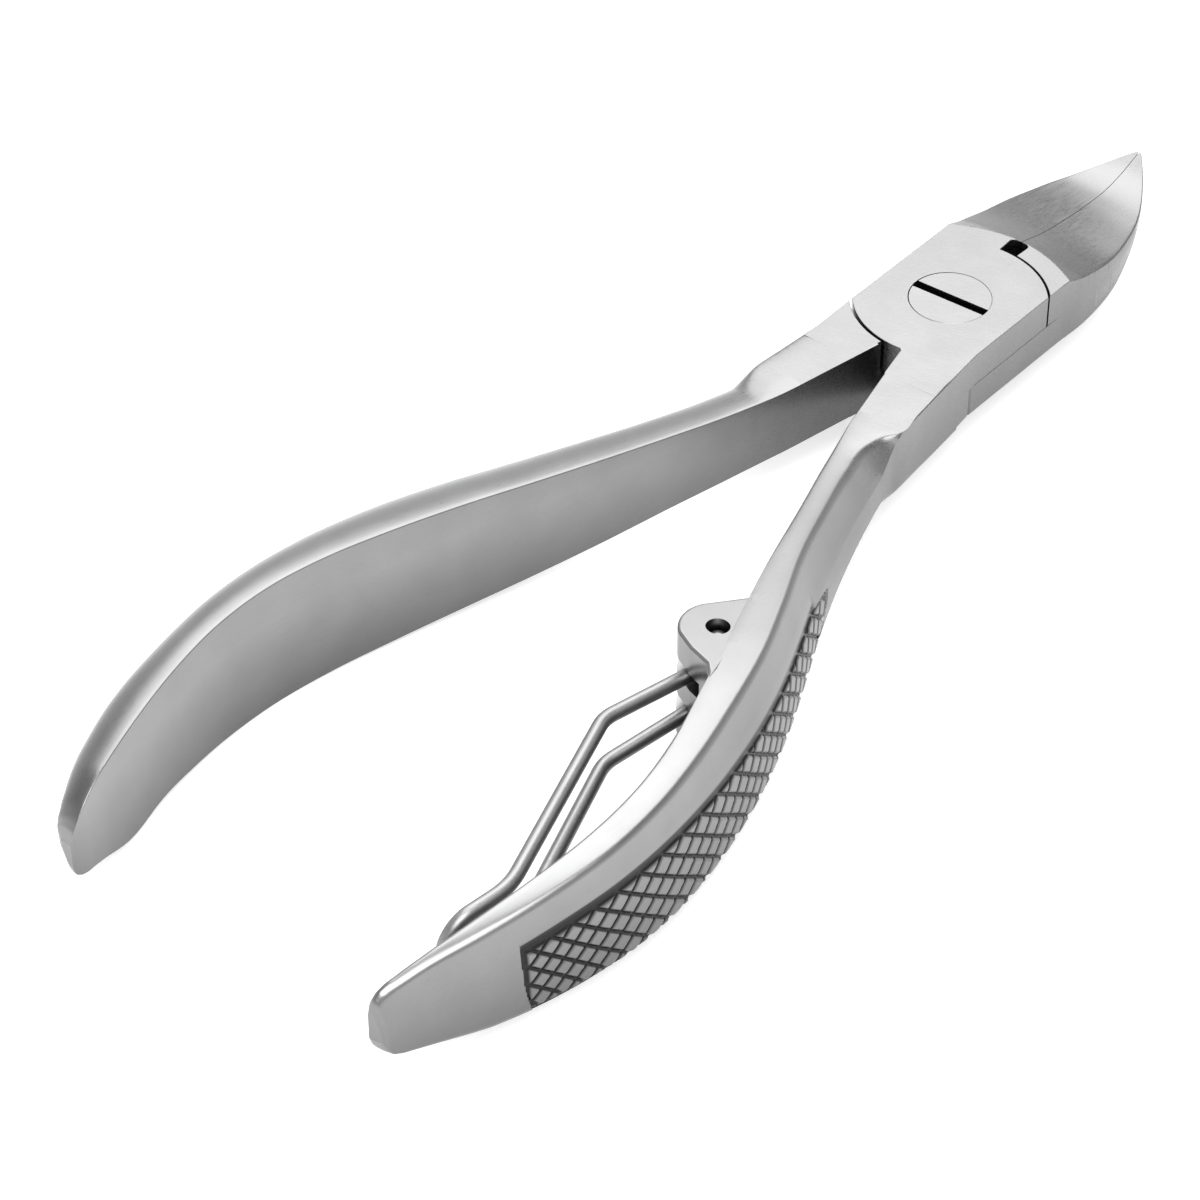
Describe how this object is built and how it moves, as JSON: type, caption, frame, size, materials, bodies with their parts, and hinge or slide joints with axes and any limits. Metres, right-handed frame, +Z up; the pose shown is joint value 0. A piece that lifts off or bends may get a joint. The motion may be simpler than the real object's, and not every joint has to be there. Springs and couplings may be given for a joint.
{
  "type": "nail nipper",
  "caption": "Plier-type nail nipper: crossed steel halves on a lap joint with a slotted pivot screw, hollowed pointed jaws, bowed handles and a fold-out hairpin spring.",
  "frame": {"origin": "on the pivot axis, at the flat underside of the joint", "axes": "+Y along the closed cutting edges towards the tip of the jaws, +X towards the handle with the spring, +Z up out of the screw's slotted head"},
  "size_m": [0.0462, 0.1279, 0.0129],
  "materials": {
    "brushed_steel": "satin stainless steel with fine brush lines, and a darkened cross-cut grip on the handles",
    "screw_steel": "satin stainless steel, ground flush with the joint",
    "pin_steel": "bright steel pin",
    "spring_wire": "polished spring steel wire"
  },
  "bodies": {
    "lower_half": {"lower_half": "brushed_steel", "pivot_screw": "screw_steel"},
    "upper_half": {"upper_half": "brushed_steel", "spring_pin": "pin_steel"},
    "wire_spring": {"wire_spring": "spring_wire"}
  },
  "joints": [
    {"name": "jaw_pivot", "type": "hinge", "parent": "lower_half", "child": "upper_half", "pos_m": [0, 0, 0.00335], "axis": [0, 0, 1], "range_deg": [0, 22]},
    {"name": "spring_fold", "type": "hinge", "parent": "upper_half", "child": "wire_spring", "pos_m": [0.01336, -0.04987, 0.00335], "axis": [0, 0, -1], "range_deg": [0, 55]}
  ]
}
